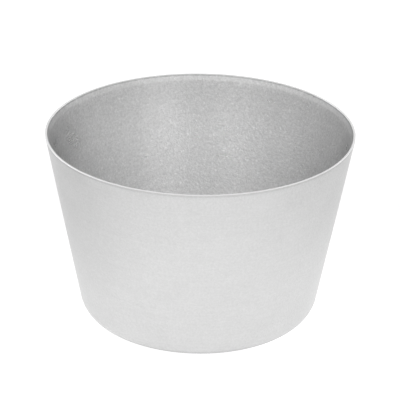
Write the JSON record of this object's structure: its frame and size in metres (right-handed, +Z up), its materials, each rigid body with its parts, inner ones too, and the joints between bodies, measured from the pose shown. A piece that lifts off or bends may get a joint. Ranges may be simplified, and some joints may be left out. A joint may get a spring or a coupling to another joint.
{
  "type": "candle melting pot",
  "caption": "Seamless tapered aluminium pot for melting candle wax, open at the top, with straight flared walls, a plain rim, a rounded bottom edge and a flat base.",
  "frame": {"origin": "centre of the underside, on the surface that the pot stands on", "axes": "+Z up along the pot's axis of revolution, from the base to the open rim; X and Y are free, because the pot is round"},
  "size_m": [0.1298, 0.1298, 0.0823],
  "materials": {
    "bare_aluminium": "bare satin sheet: fine matt grain outside, slightly coarser grain inside"
  },
  "bodies": {
    "root": {"melting_pot": "bare_aluminium"}
  },
  "joints": []
}
